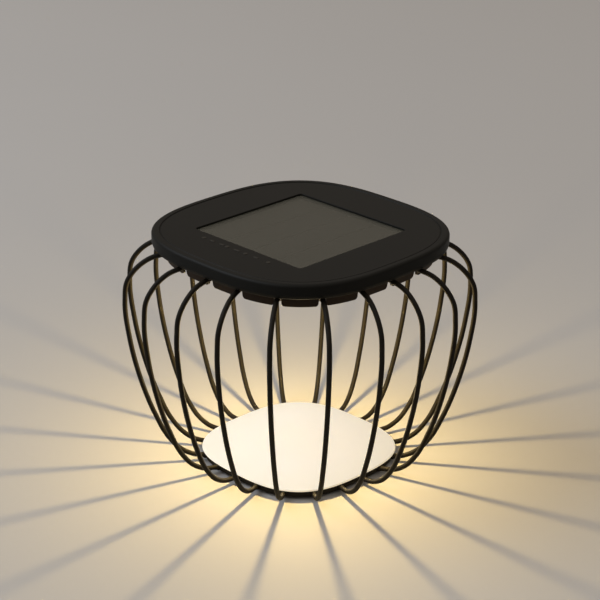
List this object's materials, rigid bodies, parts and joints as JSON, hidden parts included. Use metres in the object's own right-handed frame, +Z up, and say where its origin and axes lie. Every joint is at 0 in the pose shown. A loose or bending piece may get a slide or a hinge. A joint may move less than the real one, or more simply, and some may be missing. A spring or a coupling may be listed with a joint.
{
  "type": "solar lantern",
  "caption": "Solar-charged table lantern: rounded-square head with panel and downward LED on a bulged wire cage over a white reflector base.",
  "frame": {"origin": "on the table surface, under the middle of the base", "axes": "+Z up through the middle of the head; the head's flat sides face X and Y; the mode button is on the -Y side of the hub"},
  "size_m": [0.1964, 0.1964, 0.147],
  "materials": {
    "top_cover": "fine-textured black moulding",
    "head_base": "fine-textured black moulding",
    "battery_door": "fine-textured black moulding",
    "panel_window": "clear, lightly textured",
    "solar_cell": "olive-grey silicon wafer",
    "cell_board": "white laminate",
    "gasket": "closed-cell foam",
    "cage_steel": "satin black powder coat",
    "fastener": "zinc-plated",
    "circuit_board": "green solder mask",
    "chip": "black epoxy",
    "coil": "ferrite",
    "connector": "natural nylon",
    "battery": "shrink sleeve",
    "contact": "nickel-plated",
    "button": "grey moulding",
    "led_board": "white solder mask on aluminium",
    "led": "phosphor window",
    "lens": "frosted acrylic",
    "lead": "PVC insulation",
    "dome": "white translucent moulding",
    "rubber_pad": "matt"
  },
  "bodies": {
    "lantern": {"top_cover": "top_cover", "solar_glass": "panel_window", "solar_cell_1": "solar_cell", "solar_cell_2": "solar_cell", "solar_cell_3": "solar_cell", "solar_cell_4": "solar_cell", "cell_board": "cell_board", "panel_gasket": "gasket", "head_base": "head_base", "head_gasket": "gasket", "ring_screw_1": "fastener", "ring_screw_2": "fastener", "ring_screw_3": "fastener", "ring_screw_4": "fastener", "controller_board": "circuit_board", "driver_chip": "chip", "charge_coil": "coil", "lead_connector": "connector", "switch_body": "connector", "battery_cell": "battery", "battery_spring": "contact", "battery_contact": "contact", "battery_door": "battery_door", "door_screw": "fastener", "panel_lead": "lead", "led_lead": "lead", "led_board": "led_board", "led_emitter": "led", "lens": "lens", "upper_ring": "cage_steel", "cage_wire_01": "cage_steel", "cage_wire_02": "cage_steel", "cage_wire_03": "cage_steel", "cage_wire_04": "cage_steel", "cage_wire_05": "cage_steel", "cage_wire_06": "cage_steel", "cage_wire_07": "cage_steel", "cage_wire_08": "cage_steel", "cage_wire_09": "cage_steel", "cage_wire_10": "cage_steel", "cage_wire_11": "cage_steel", "cage_wire_12": "cage_steel", "cage_wire_13": "cage_steel", "cage_wire_14": "cage_steel", "cage_wire_15": "cage_steel", "cage_wire_16": "cage_steel", "cage_wire_17": "cage_steel", "cage_wire_18": "cage_steel", "cage_wire_19": "cage_steel", "cage_wire_20": "cage_steel", "lower_ring": "cage_steel", "base_plate": "cage_steel", "reflector_dome": "dome", "base_screw_1": "fastener", "base_screw_2": "fastener", "foot_pad_1": "rubber_pad", "foot_pad_2": "rubber_pad", "foot_pad_3": "rubber_pad", "foot_pad_4": "rubber_pad"},
    "mode_button": {"mode_button": "button"}
  },
  "joints": [
    {"name": "button_press", "type": "slide", "parent": "lantern", "child": "mode_button", "axis": [0, 0, 1], "range_m": [0, 0.0015], "stiffness_N_per_m": 300}
  ]
}
